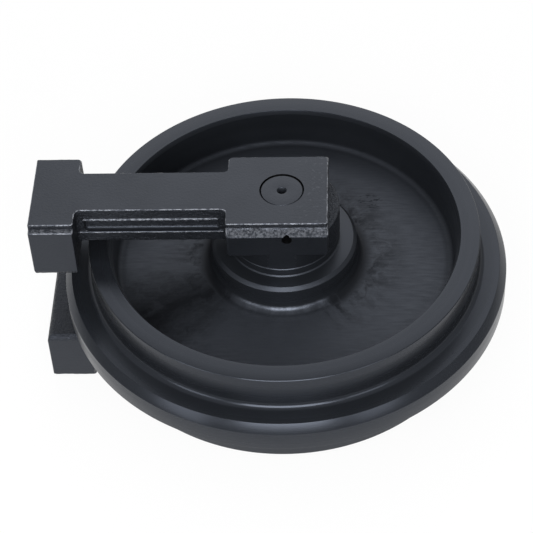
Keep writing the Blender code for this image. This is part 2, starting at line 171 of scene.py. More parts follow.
def newMaterial(name, colour, roughness, metallic=0.0):
    material = bpy.data.materials.new(name)
    material.use_nodes = True
    shader = material.node_tree.nodes["Principled BSDF"]
    shader.inputs["Base Color"].default_value = (*colour, 1)
    shader.inputs["Roughness"].default_value = roughness
    shader.inputs["Metallic"].default_value = metallic
    if metallic == 0:
        shader.inputs["Specular Tint"].default_value = (*paintTint, 1)
    return material, material.node_tree, shader


def addNode(tree, kind, **values):
    node = tree.nodes.new(kind)
    for key, value in values.items():
        if key in node.inputs:
            node.inputs[key].default_value = value
        else:
            setattr(node, key, value)
    return node


def placedCoordinates(tree, stretch=(1, 1, 1)):
    # Object coordinates moved so that the wheel's middle is at zero
    coordinates = addNode(tree, "ShaderNodeTexCoord")
    mapping = addNode(tree, "ShaderNodeMapping", vector_type="POINT")
    mapping.inputs["Location"].default_value = tuple(-c * s for c, s in zip(wheelMiddle, stretch))
    mapping.inputs["Scale"].default_value = stretch
    tree.links.new(coordinates.outputs["Object"], mapping.inputs["Vector"])
    return mapping.outputs["Vector"]


def noiseFrom(tree, vector, scale, detail=4.0, roughness=0.55):
    noise = addNode(tree, "ShaderNodeTexNoise", Scale=scale, Detail=detail, Roughness=roughness)
    tree.links.new(vector, noise.inputs["Vector"])
    return noise.outputs["Fac"]


def rangeFrom(tree, value, low, high, outLow=0, outHigh=1):
    ranges = addNode(tree, "ShaderNodeMapRange")
    ranges.inputs["From Min"].default_value = low
    ranges.inputs["From Max"].default_value = high
    ranges.inputs["To Min"].default_value = outLow
    ranges.inputs["To Max"].default_value = outHigh
    tree.links.new(value, ranges.inputs["Value"])
    return ranges.outputs["Result"]


def polarCoordinates(tree, vector):
    # (radius, angle, height) about the wheel's axis, for marks that run round it
    split = addNode(tree, "ShaderNodeSeparateXYZ")
    tree.links.new(vector, split.inputs["Vector"])
    flat = addNode(tree, "ShaderNodeCombineXYZ")
    tree.links.new(split.outputs["X"], flat.inputs["X"])
    tree.links.new(split.outputs["Y"], flat.inputs["Y"])
    length = addNode(tree, "ShaderNodeVectorMath", operation="LENGTH")
    tree.links.new(flat.outputs["Vector"], length.inputs[0])
    angle = addNode(tree, "ShaderNodeMath", operation="ARCTAN2")
    tree.links.new(split.outputs["Y"], angle.inputs[0])
    tree.links.new(split.outputs["X"], angle.inputs[1])
    return length.outputs["Value"], angle.outputs["Value"], split.outputs["Z"]


noiseSpan = (0.3, 0.7)  # nearly all of a noise lies between these


def spreadNoise(tree, noise, outLow, outHigh):
    return rangeFrom(tree, noise, *noiseSpan, outLow, outHigh)


def mathOf(tree, operation, first, second):
    node = addNode(tree, "ShaderNodeMath", operation=operation)
    for socket, value in zip(node.inputs, (first, second)):
        if isinstance(value, (int, float)):
            socket.default_value = value
        else:
            tree.links.new(value, socket)
    return node.outputs["Value"]


def productOf(tree, first, *others):
    for other in others:
        first = mathOf(tree, "MULTIPLY", first, other)
    return first


def bandOf(tree, value, band):
    # 1 inside a band and 0 outside it, with soft sides
    riseStart, riseEnd, fallStart, fallEnd = band
    rise = rangeFrom(tree, value, riseStart, riseEnd)
    fall = rangeFrom(tree, value, fallStart, fallEnd, 1, 0)
    return productOf(tree, rise, fall)


def mixOf(tree, factor, first, second, kind="FLOAT"):
    # The first where the factor is 0, the second where it is 1
    mix = addNode(tree, "ShaderNodeMix", data_type=kind)
    tree.links.new(factor, mix.inputs["Factor"])
    for side, value in (("A", first), ("B", second)):
        if isinstance(value, bpy.types.NodeSocket):
            tree.links.new(value, mix.inputs[side])
        elif kind == "RGBA":
            mix.inputs[side].default_value = (*value, 1)
        else:
            mix.inputs[side].default_value = value
    return mix.outputs["Result"]


def mixedColour(tree, shader, factor, dark, light):
    tree.links.new(mixOf(tree, factor, dark, light, "RGBA"), shader.inputs["Base Color"])


def addBump(tree, shader, height, distance):
    bump = addNode(tree, "ShaderNodeBump", Strength=1.0, Distance=distance)
    tree.links.new(height, bump.inputs["Height"])
    tree.links.new(bump.outputs["Normal"], shader.inputs["Normal"])


turnedPaint = {
    "dark": (0.007, 0.008, 0.01),
    "light": (0.012, 0.0135, 0.016),
    # Colour of the scuffs, of the darker streaks near the hub and of the painted shade in the dish
    "scuffAndShadeColour": (0.004, 0.0044, 0.0054),
    "smooth": 0.29,
    "dull": 0.56,
    "scuffAndShadeDull": 0.16,
    "wander": 0.1,
    "rimGloss": 0.42,
    "webGloss": 0.72,
    "footGloss": 1.0,
    "scuffAndShadeGloss": 0.06,
    "bumpDepth": 0.07 * mm,
    "lineShare": 0.25,
    # Noises: scale, detail and, where it isn't the usual one, roughness
    "clouds": (14, 5),
    "turningLines": (420, 3),
    "turningMarks": (60, 4),
    "brushMarks": (45, 5),
    "brushStretch": (1, 7, 1),
    "rays": (9, 5, 0.65),
    "raysRound": 2.2,
    "scratches": (34, 3),
    "scratchStretch": (1, 3.2, 1),
    # Bands in metres from the axis: start and end of the rise, start and end of the fall
    "web": (0.106, 0.114, 0.225, 0.231),
    "foot": (0.0975, 0.1, 0.108, 0.12),
    "nearHub": (0.107, 0.114, 0.11, 0.17),
    "outerRing": (0.213, 0.221, 0.225, 0.231),
    # Bands in radians round the axis
    "shadeAngles": (-3.0, -2.6, -2.55, -2.15),
    "polishAngles": (-2.4, -2.1, -1.15, -0.85),
    "raggedBy": 0.12,
    # How strong each mark is, and where the noises cut it
    "shadeShare": 0.88,
    "ringShadeShare": 0.35,
    "hubDarkShare": 0.75,
    "frontHubDarkShare": 0.15,
    "streakRange": (0.42, 0.62),
    "polishBreaks": (0.38, 0.56),
    "polishLeft": 0.3,
    "scuffCentre": (0.114, 0.102, 0.021),
    "scuffReach": (0.012, 0.02),
    "scratchShare": 0.8,
    "scratchWidth": (0.008, 0.03),
}


def raysFrom(tree, radius, angle, clouds):
    # A noise drawn out along the radius, for streaks and ragged sides
    look = turnedPaint
    rays = addNode(tree, "ShaderNodeCombineXYZ")
    turn = rangeFrom(tree, angle, -math.pi, math.pi, -look["raysRound"], look["raysRound"])
    tree.links.new(turn, rays.inputs["X"])
    tree.links.new(radius, rays.inputs["Y"])
    tree.links.new(clouds, rays.inputs["Z"])
    return noiseFrom(tree, rays.outputs["Vector"], *look["rays"])


def scuffMark(tree, place):
    # A small scuff of thin scratches, where a stretched noise crosses its middle value
    look = turnedPaint
    away = addNode(tree, "ShaderNodeVectorMath", operation="DISTANCE")
    away.inputs[1].default_value = look["scuffCentre"]
    tree.links.new(place, away.inputs[0])
    near = rangeFrom(tree, away.outputs["Value"], *look["scuffReach"], 1, 0)
    noise = noiseFrom(tree, placedCoordinates(tree, look["scratchStretch"]), *look["scratches"])
    fromLine = mathOf(tree, "ABSOLUTE", mathOf(tree, "SUBTRACT", noise, 0.5), 0)
    scratches = rangeFrom(tree, fromLine, *look["scratchWidth"], look["scratchShare"], 0)
    return productOf(tree, near, scratches)


def dishMarks(tree, place, radius, angle, web, rayNoise):
    # The scuff, the darker streaks and the painted shade of the dish, and the polished foot of the hub
    look = turnedPaint
    ragged = mathOf(tree, "ADD", angle, spreadNoise(tree, rayNoise, -look["raggedBy"], look["raggedBy"]))

    # Painted shade: a dull, darker sector with ragged sides, and a darker ring where the dish meets its
    # wall
    shade = productOf(tree, bandOf(tree, ragged, look["shadeAngles"]), web, look["shadeShare"])
    ring = productOf(tree, bandOf(tree, radius, look["outerRing"]), look["ringShadeShare"])

    # The foot is shiny in broken streaks at the front, and elsewhere dull and darker with a ragged outer
    # edge, a painted shade
    foot = bandOf(tree, radius, look["foot"])
    front = bandOf(tree, ragged, look["polishAngles"])
    broken = rangeFrom(tree, rayNoise, *look["polishBreaks"], 1, look["polishLeft"])
    polish = productOf(tree, foot, front, broken)
    footShade = productOf(tree, foot, rangeFrom(tree, front, 0, 1, look["hubDarkShare"], 0))
    # Darker, duller streaks near the hub, weaker at the front
    streaks = rangeFrom(tree, rayNoise, *look["streakRange"])
    hubDarkShare = rangeFrom(tree, front, 0, 1, look["hubDarkShare"], look["frontHubDarkShare"])
    hubStreaks = productOf(tree, streaks, bandOf(tree, radius, look["nearHub"]), hubDarkShare)

    scuffsAndShade = scuffMark(tree, place)
    for mark in (shade, ring, footShade, hubStreaks):
        scuffsAndShade = mathOf(tree, "MAXIMUM", scuffsAndShade, mark)
    return scuffsAndShade, polish


def makeTurnedPaint():
    # Glossy on the turned rim, flange and hub, duller and brushed by hand in the dish
    look = turnedPaint
    material, tree, shader = newMaterial("wheelPaint", look["dark"], look["smooth"])
    shader.inputs["Specular IOR Level"].default_value = look["rimGloss"]
    place = placedCoordinates(tree)
    radius, angle, height = polarCoordinates(tree, place)
    rings = addNode(tree, "ShaderNodeCombineXYZ")
    tree.links.new(radius, rings.inputs["X"])
    tree.links.new(height, rings.inputs["Z"])
    lines = noiseFrom(tree, rings.outputs["Vector"], *look["turningLines"])
    turned = noiseFrom(tree, rings.outputs["Vector"], *look["turningMarks"])
    brushed = noiseFrom(tree, placedCoordinates(tree, look["brushStretch"]), *look["brushMarks"])
    clouds = noiseFrom(tree, place, *look["clouds"])
    web = bandOf(tree, radius, look["web"])
    rayNoise = raysFrom(tree, radius, angle, clouds)
    scuffsAndShade, polish = dishMarks(tree, place, radius, angle, web, rayNoise)

    # The scuffs and the painted shade lower the gloss, and are also in the colour and the roughness
    gloss = rangeFrom(tree, web, 0, 1, look["rimGloss"], look["webGloss"])
    gloss = mixOf(tree, scuffsAndShade, gloss, look["scuffAndShadeGloss"])
    gloss = mixOf(tree, polish, gloss, look["footGloss"])
    tree.links.new(gloss, shader.inputs["Specular IOR Level"])
    paint = mixOf(tree, clouds, look["dark"], look["light"], "RGBA")
    # The colour darkens under the scuff, the streaks and the painted shade of the sector, the wall ring and
    # the hub's foot
    mixedColour(tree, shader, scuffsAndShade, paint, look["scuffAndShadeColour"])
    wander = spreadNoise(tree, mixOf(tree, web, turned, brushed), -look["wander"], look["wander"])
    dullness = rangeFrom(tree, web, 0, 1, look["smooth"], look["dull"])
    clean = mathOf(tree, "ADD", wander, dullness)
    markedRoughness = mathOf(tree, "ADD", clean, productOf(tree, scuffsAndShade, look["scuffAndShadeDull"]))
    tree.links.new(markedRoughness, shader.inputs["Roughness"])
    faintLines = rangeFrom(tree, lines, 0, 1, 0, look["lineShare"])
    addBump(tree, shader, mixOf(tree, web, faintLines, brushed), look["bumpDepth"])
    return material


castPaint = {
    "dark": (0.006, 0.0065, 0.008),
    "light": (0.013, 0.0145, 0.017),
    "roughLow": 0.26,
    "roughHigh": 0.42,
    "clouds": (60, 4),
    "grain": (330, 4),
    "grainDepth": 2.2 * mm,
}


def makeCastPaint():
    look = castPaint
    material, tree, shader = newMaterial("castPaint", look["dark"], look["roughLow"])
    place = placedCoordinates(tree)
    grain = noiseFrom(tree, place, *look["grain"])
    mixedColour(tree, shader, noiseFrom(tree, place, *look["clouds"]), look["dark"], look["light"])
    rough = spreadNoise(tree, grain, look["roughLow"], look["roughHigh"])
    tree.links.new(rough, shader.inputs["Roughness"])
    addBump(tree, shader, grain, look["grainDepth"])
    return material


machinedPaint = {
    "dark": (0.006, 0.0068, 0.0083),
    "light": (0.011, 0.0122, 0.0145),
    "roughLow": 0.28,
    "roughHigh": 0.38,
    "clouds": (18, 5),
    "specks": (300, 4),
    "speckDepth": 0.25 * mm,
    "chip": (0.035, 0.037, 0.042),
    "chipNoise": (180, 4),
    "chipRange": (0.58, 0.68),
    "chipsAlong": (0.005, 0.05),
    "chipsAbove": (0.1492, 0.1496),
}


def makeMachinedPaint(name):
    # Even paint, chipped on the top faces toward the tip of the head
    look = machinedPaint
    material, tree, shader = newMaterial(name, look["dark"], look["roughLow"])
    place = placedCoordinates(tree)
    specks = noiseFrom(tree, place, *look["specks"])
    clouds = noiseFrom(tree, place, *look["clouds"])
    split = addNode(tree, "ShaderNodeSeparateXYZ")
    tree.links.new(place, split.inputs["Vector"])
    tipSide = rangeFrom(tree, split.outputs["X"], *look["chipsAlong"])
    onTop = rangeFrom(tree, split.outputs["Z"], *look["chipsAbove"])
    spots = rangeFrom(tree, noiseFrom(tree, place, *look["chipNoise"]), *look["chipRange"])
    chips = productOf(tree, tipSide, onTop, spots)
    paint = mixOf(tree, clouds, look["dark"], look["light"], "RGBA")
    mixedColour(tree, shader, chips, paint, look["chip"])
    rough = spreadNoise(tree, clouds, look["roughLow"], look["roughHigh"])
    tree.links.new(rough, shader.inputs["Roughness"])
    addBump(tree, shader, specks, look["speckDepth"])
    return material


# Light bare paint on the edge chamfers and lip crests: partly real wear, partly a painted highlight of the
# edges
wornEdgeHighlight = {
    "paint": (0.04, 0.043, 0.05),
    "bareAndHighlight": (0.21, 0.22, 0.245),
    "rough": 0.28,
    "patches": (190, 4),
    "patchRange": (0.43, 0.6),
    "grain": (380, 3),
    "grainDepth": 0.9 * mm,
}


# Light bare patches on the upward ledges: partly real wear, partly a painted glint of the rough cast
wornLedgeGlint = {
    "paint": (0.02, 0.022, 0.026),
    "bareAndHighlight": (0.1, 0.105, 0.118),
    "rough": 0.3,
    "patches": (300, 4),
    "patchRange": (0.43, 0.6),
    "grain": (380, 3),
    "grainDepth": 0.9 * mm,
}


def makeWornHighlitPaint(name, look):
    material, tree, shader = newMaterial(name, look["paint"], look["rough"])
    place = placedCoordinates(tree)
    patches = rangeFrom(tree, noiseFrom(tree, place, *look["patches"]), *look["patchRange"])
    # Light bare patches, partly a painted highlight of the edges and ledges
    mixedColour(tree, shader, patches, look["paint"], look["bareAndHighlight"])
    addBump(tree, shader, noiseFrom(tree, place, *look["grain"]), look["grainDepth"])
    return material


metals = {
    "bushBronze": {"colour": (0.55, 0.36, 0.15), "rough": 0.35, "lineScale": 200},
    "sealIron": {"colour": (0.32, 0.32, 0.33), "rough": 0.3, "lineScale": 300},
    # The bores and the pin hole are a near-black metal, a painted shade of their hollows
    "boreShade": {"colour": (0.02, 0.02, 0.022), "rough": 0.6, "lineScale": 250},
    "pinSteel": {"colour": (0.05, 0.05, 0.052), "rough": 0.5, "lineScale": 250},
    "plugZinc": {"colour": (0.45, 0.45, 0.43), "rough": 0.4, "lineScale": 250},
}
metalVaries = 0.2


def makeMetal(name):
    look = metals[name]
    rough = look["rough"]
    material, tree, shader = newMaterial(name, look["colour"], rough, 1.0)
    lines = noiseFrom(tree, placedCoordinates(tree), look["lineScale"])
    dark = tuple(c * (1 - metalVaries) for c in look["colour"])
    mixedColour(tree, shader, lines, dark, look["colour"])
    uneven = spreadNoise(tree, lines, rough * (1 - metalVaries), rough * (1 + metalVaries))
    tree.links.new(uneven, shader.inputs["Roughness"])
    return material


rubber = {
    "colour": (0.012, 0.012, 0.012),
    "dark": (0.008, 0.008, 0.008),
    "light": (0.018, 0.018, 0.018),
    "rough": 0.7,
    "grainScale": 500,
    "grainDepth": 0.05 * mm,
}


def makeRubber():
    look = rubber
    material, tree, shader = newMaterial("sealRubber", look["colour"], look["rough"])
    grain = noiseFrom(tree, placedCoordinates(tree), look["grainScale"])
    mixedColour(tree, shader, grain, look["dark"], look["light"])
    addBump(tree, shader, grain, look["grainDepth"])
    return material


print("materials")
wheelPaint = makeTurnedPaint()
roughPaint = makeCastPaint()
smoothPaint = makeMachinedPaint("machinedPaint")
bushBronze = makeMetal("bushBronze")
sealIron = makeMetal("sealIron")
shaftPaint = makeMachinedPaint("shaftPaint")
edgeWearHighlight = makeWornHighlitPaint("edgeWearHighlight", wornEdgeHighlight)
ledgeWearGlint = makeWornHighlitPaint("ledgeWearGlint", wornLedgeGlint)
boreShade = makeMetal("boreShade")
pinSteel = makeMetal("pinSteel")
plugZinc = makeMetal("plugZinc")
sealRubber = makeRubber()

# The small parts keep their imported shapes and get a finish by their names
finishes = {
    "bush": bushBronze,
    "seal_ring": sealIron,
    "toric": sealRubber,
    "o_ring": sealRubber,
    "lock_pin": pinSteel,
    "oil_plug": plugZinc,
}
for nodeName, nodeObject in frame["nodes"].items():
    nodeFinish = smoothPaint
    for word, finish in finishes.items():
        if word in nodeName:
            nodeFinish = finish
    nodeObject.data.materials.clear()
    nodeObject.data.materials.append(nodeFinish)


# The wheel: outline corners as (radius, height above the middle plane, rounding)

shell = {
    "boreRadius": 73.2,
    "hubRadius": 97,
    "hubTop": 63,
    "hubChamfer": 4.6,
    "hubFillet": 13,
    "collarFillet": 1.6,
    "collarRounding": 0.5,
    "webHub": 26,
    "webRim": 18,
    "webWall": 14,
    "dishRadius": 226.5,
    "dishFillet": 8,
    "mouthRadius": 234.6,
    "mouthWidth": 2.8,
    "mouthDepth": 6,
    "rimTop": 74.5,
    "treadRadius": 260,
    "treadChamfer": 0.8,
    "flangeFoot": 25,
    "flangeFillet": 9,
    "innerStep": 5,
    "flangeRadius": 297,
    "flangeBevel": 9,
    "flangeLand": 14,
    "flangeWall": 22,
    "edge": 0.7,
    "steps": 180,
}


def shellCorners():
    s = shell
    foot = s["webRim"] - s["webWall"]
    edge = s["edge"]
    return [
        (s["boreRadius"], s["hubTop"] + s["collarFillet"], 0),
        (s["boreRadius"] + s["collarFillet"], s["hubTop"], s["collarRounding"]),
        (s["hubRadius"] - s["hubChamfer"], s["hubTop"], edge),
        (s["hubRadius"], s["hubTop"] - s["hubChamfer"], edge),
        (s["hubRadius"], s["webHub"], s["hubFillet"]),
        (s["dishRadius"], s["webRim"], s["dishFillet"]),
        (s["mouthRadius"] - s["mouthWidth"], s["rimTop"] - s["mouthDepth"], edge),
        (s["mouthRadius"], s["rimTop"], edge),
        (s["treadRadius"] - s["treadChamfer"], s["rimTop"], edge / 2),
        (s["treadRadius"], s["rimTop"] - s["treadChamfer"], edge / 2),
        (s["treadRadius"], s["flangeFoot"], s["flangeFillet"]),
        (s["flangeRadius"] - s["flangeBevel"], s["flangeFoot"], edge),
        (s["flangeRadius"], s["flangeLand"], edge),
        (s["flangeRadius"], 0, 0),
        (s["flangeRadius"] - s["flangeWall"], 0, 0),
        (s["treadRadius"] + s["innerStep"], foot, 0),
        (s["dishRadius"], foot, 0),
        (s["hubRadius"], s["webHub"] - s["webWall"], 0),
        (s["boreRadius"], s["webHub"] - s["webWall"], 0),
    ]


print("wheel")
shellUpper = turnPiece("wheelShellUpper", shellCorners(), shell["steps"])
shellLower = turnedOver(shellUpper, "wheelShellLower")
dressPiece(shellUpper, wheelPaint, "wheel", "wheel_shell_upper")
dressPiece(shellLower, wheelPaint, "wheel", "wheel_shell_lower")

hub = {
    "sleeveRadius": 72.9,
    "sleeveTop": 75.5,
    "chamfer": 1,
    "seatRadius": 58,
    "seatDepth": 14.5,
    "throatRadius": 46,
    "bushSeat": 50,
    "boreRadius": 33.6,
    "chamberHalf": 8,
    "chamberRadius": 39,
    "seatRounding": 0.4,
    "edge": 0.2,
    "steps": 120,
}


def hubCorners():
    h = hub
    upper = [
        (h["chamberRadius"], h["chamberHalf"], 0),
        (h["boreRadius"], h["chamberHalf"], 0),
        (h["boreRadius"], h["bushSeat"], 0),
        (h["throatRadius"], h["bushSeat"], 0),
        (h["throatRadius"], h["sleeveTop"] - h["seatDepth"], h["seatRounding"]),
        (h["seatRadius"], h["sleeveTop"] - h["seatDepth"], h["seatRounding"]),
        (h["seatRadius"], h["sleeveTop"], h["seatRounding"]),
        (h["sleeveRadius"] - h["chamfer"], h["sleeveTop"], h["edge"]),
        (h["sleeveRadius"], h["sleeveTop"] - h["chamfer"], h["edge"]),
    ]
    lower = [(r, -z, rounding) for r, z, rounding in reversed(upper)]
    return upper + lower


hubPiece = turnPiece("wheelHub", hubCorners(), hub["steps"])
dressPiece(hubPiece, wheelPaint, "wheel", "wheel_hub")


# Shaft: both ends turned with a chamfer and a lathe centre, and the oil filling bore in the lower one

shaft = {
    "radius": 28.5,
    "half": 148.8,
    "chamfer": 1.7,
    "edge": 0.3,
    "centreRadius": 6.5,
    "drillRadius": 2.5,
    "drillDepth": 16,
    "drillTip": 1,
    "coneAngle": 60,
    "oilOffset": 16,
    "oilRadius": 8.3,
    "oilDepth": 14.3,
    "oilSteps": 48,
    "steps": 120,
}


def shaftCorners():
    s = shaft
    coneDepth = (s["centreRadius"] - s["drillRadius"]) / math.tan(math.radians(s["coneAngle"] / 2))
    upper = [
        (0, s["half"] - s["drillDepth"] - s["drillTip"], 0),
        (s["drillRadius"], s["half"] - s["drillDepth"], 0),
        (s["drillRadius"], s["half"] - coneDepth, 0),
        (s["centreRadius"], s["half"], s["edge"]),
        (s["radius"] - s["chamfer"], s["half"], s["edge"]),
        (s["radius"], s["half"] - s["chamfer"], s["edge"]),
    ]
    return upper + [(r, -z, rounding) for r, z, rounding in reversed(upper)]


def cutWith(piece, cutter, operation="DIFFERENCE"):
    modifier = piece.modifiers.new("Cut", "BOOLEAN")
    modifier.operation = operation
    modifier.solver = "EXACT"
    modifier.object = cutter
    applyModifiers(piece)
    bpy.data.objects.remove(cutter, do_unlink=True)


def roundTool(name, radius, start, end, steps):
    # A cylinder between two points, given in millimetres from the wheel's middle
    line = (Vector(end) - Vector(start)) * mm
    middle = Vector(wheelMiddle) + (Vector(start) + Vector(end)) / 2 * mm
    deselectAll()
    turn = line.to_track_quat("Z", "Y").to_euler()
    bpy.ops.mesh.primitive_cylinder_add(vertices=steps, radius=radius * mm, depth=line.length,
                                        location=middle, rotation=turn)
    tool = bpy.context.object
    tool.name = name
    return tool


def boxTool(name, low, high):
    # A box between two corners, given in millimetres from the wheel's middle
    middle = Vector(wheelMiddle) + (Vector(low) + Vector(high)) / 2 * mm
    deselectAll()
    bpy.ops.mesh.primitive_cube_add(size=1, location=middle)
    tool = bpy.context.object
    tool.name = name
    tool.scale = [abs(b - a) * mm for a, b in zip(low, high)]
    bpy.ops.object.transform_apply(location=False, rotation=False, scale=True)
    return tool


print("shaft")
shaftPiece = turnPiece("shaftPiece", shaftCorners(), shaft["steps"], closed=False)
oilStart = (-shaft["oilOffset"], 0, -shaft["half"] - toolMargin)
oilEnd = (-shaft["oilOffset"], 0, -shaft["half"] + shaft["oilDepth"])
oilBore = roundTool("oilBore", shaft["oilRadius"], oilStart, oilEnd, shaft["oilSteps"])
cutWith(shaftPiece, oilBore)
selectOnly(shaftPiece)
bpy.ops.object.shade_smooth_by_angle(angle=roundAngle)
dressPiece(shaftPiece, shaftPaint, "carrier", "shaft")


# Brackets: the imported casting with finer round parts, worn edges whose light paint is partly a painted
# highlight, and a rough cast skin

bracket = {
    "bossRadius": 74.65,
    "bossTop": 122.05,
    "bossFoot": 77.45,
    "bossChamfer": 1.2,
    "bossBore": 60,
    "bossSteps": 144,
    "boreRadius": 29.1,
    "boreFloor": 140,
    "boreSteps": 120,
    "pinRadius": 6.7,
    "pinX": 7.5,
    "pinZ": 132,
    "pinStart": -90,
    "pinFloor": -60,
    "pinSteps": 48,
    "faceZ": 150,
    "endX": -327,
    "sideY": 74,
    "trimHalf": 30,
    "trimWidth": 6,
    "trimBottom": 76,
    "trimAbove": 1,
    "draftTop": 136.2,
    "draft": 0.0293,
    "beadRadius": 1.5,
    "beadY": 34.5,
    "beadSteps": 12,
    "beads": [(132.3, -259, -83), (109.7, -266, -77)],  # height, start and end
    "flatAngle": 0.5,
}
# Face slots: the worn slot's light bare patches are partly a painted highlight, and the dark slot's
# near-black bore metal is a painted shade
machined, cast, wornAndHighlit, dark, ledges = range(5)


def fromMiddle(point):
    # A place in the model as millimetres from the wheel's middle
    return (point - Vector(wheelMiddle)) / mm


def fromPinHole(place):
    return math.hypot(place.x - bracket["pinX"], place.z - bracket["pinZ"])


def copyOfNode(node, name):
    selectOnly(frame["nodes"][node])
    bpy.ops.object.duplicate()
    piece = bpy.context.object
    piece.name = name
    piece.parent = None
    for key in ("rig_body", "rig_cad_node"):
        if key in piece:
            del piece[key]
    bpy.ops.object.mode_set(mode="EDIT")
    bpy.ops.mesh.select_all(action="SELECT")
    bpy.ops.mesh.remove_doubles(threshold=mergeDistance)
    bpy.ops.mesh.dissolve_limited(angle_limit=math.radians(bracket["flatAngle"]))
    bpy.ops.object.mode_set(mode="OBJECT")
    return piece


def refineRounds(piece):
    # Fine round boss, bore and pin hole in place of the faceted ones
    b = bracket
    ring = turnPiece("bossRing", [
        (b["bossBore"], b["bossTop"], 0),
        (b["bossRadius"] - b["bossChamfer"], b["bossTop"], 0),
        (b["bossRadius"], b["bossTop"] - b["bossChamfer"], 0),
        (b["bossRadius"], b["bossFoot"] + b["bossChamfer"], 0),
        (b["bossRadius"] - b["bossChamfer"], b["bossFoot"], 0),
        (b["bossBore"], b["bossFoot"], 0),
    ], b["bossSteps"])
    cutWith(piece, ring, "UNION")
    boreStart = (0, 0, b["boreFloor"])
    boreEnd = (0, 0, b["faceZ"] + toolMargin)
    cutWith(piece, roundTool("boreTool", b["boreRadius"], boreStart, boreEnd, b["boreSteps"]))
    pinStart = (b["pinX"], b["pinStart"], b["pinZ"])
    pinEnd = (b["pinX"], b["pinFloor"], b["pinZ"])
    cutWith(piece, roundTool("pinTool", b["pinRadius"], pinStart, pinEnd, b["pinSteps"]))

    # The boss stands no wider than the head's drafted sides
    for side in (-1, 1):
        tool = boxTool("sideTool", (-b["trimHalf"], side * b["sideY"], b["trimBottom"]),
                       (b["trimHalf"], side * (b["sideY"] + b["trimWidth"]), b["bossTop"] + b["trimAbove"]))
        for vertex in tool.data.vertices:
            if vertex.co.y * side < 0:
                z = fromMiddle(tool.location + vertex.co).z
                vertex.co.y -= side * (b["draftTop"] - z) * b["draft"] * mm
        cutWith(piece, tool)


def addBeads(piece):
    # The raised lips along the top and bottom of the pocket in each side of the arm
    b = bracket
    for side in (-1, 1):
        y = side * b["beadY"]
        for z, start, end in b["beads"]:
            bead = roundTool("bead", b["beadRadius"], (start, y, z), (end, y, z), b["beadSteps"])
            cutWith(piece, bead, "UNION")


# Where the machined faces, the near-black bores (a painted shade) and the light worn faces (partly a
# painted highlight) lie, in millimetres from the wheel's middle
finishPlaces = {
    "padsAbove": 149.5,
    "yokeBeyond": -326.5,
    "guidesBeyond": -268.5,
    "guideSide": 67.5,
    "headSide": 71.5,
    "headFrom": -80,
    "bossRadius": 76,
    "bossBelow": 93.5,
    "sillHeights": (100, 126),
    "sillSide": 52,
    "sillBeyond": -78,
    "boreRadius": 30,
    "pinRadius": 7.5,
    "ledgesAbove": 135,
    "beadCrest": 0.2,
    "square": 0.9,
    "squareHead": 0.98,
    "rising": 0.6,
}


def faceFinish(centre, normal):
    # By where a face of the upper bracket lies and which way it looks
    p = finishPlaces
    b = bracket
    place = fromMiddle(centre)
    x, y, z = place
    radius = math.hypot(x, y)
    level = normal.z > p["square"]
    padTop = z > p["padsAbove"] and level
    yokeFace = x < p["yokeBeyond"] and normal.x < -p["square"]
    guideFace = x < p["guidesBeyond"] and abs(y) > p["guideSide"] and abs(normal.y) > p["square"]
    headFace = abs(y) > p["headSide"] and abs(normal.y) > p["squareHead"] and x > p["headFrom"]
    boss = radius < p["bossRadius"] and z < p["bossBelow"]
    sillLow, sillHigh = p["sillHeights"]
    inPocket = sillLow < z < sillHigh and abs(y) < p["sillSide"] and x < p["sillBeyond"]
    sill = inPocket and normal.z > p["rising"]
    if padTop or yokeFace or guideFace or headFace or boss or sill:
        return machined
    # Bores and the pin hole take the near-black metal, a painted shade of the hollows
    inBore = radius < p["boreRadius"] and abs(normal.z) < p["square"]
    if inBore or fromPinHole(place) < p["pinRadius"]:
        return dark
    # The lip crests take the light worn finish, partly a painted highlight
    for beadZ, start, end in b["beads"]:
        onCrest = abs(y) > b["beadY"] + p["beadCrest"]
        if abs(z - beadZ) < b["beadRadius"] and start <= x <= end and onCrest:
            return wornAndHighlit
    # Upward faces high on the head take the ledge finish, whose light patches are partly a painted glint
    return ledges if level and z > p["ledgesAbove"] else cast


def setFinishes(piece):
    for face in piece.data.polygons:
        face.material_index = faceFinish(face.center, face.normal)


wear = {
    "width": 1.1,
    "angle": 32,
    "narrowest": 2.4,
    "keptAbove": 139,
    "bossRadius": 76,
    "bossTop": 123,
    "boreRadius": 32,
    "pinRadius": 8,
    "beadHeight": 2.5,
    "beadSide": 2,
    "smallest": 0.02,
}


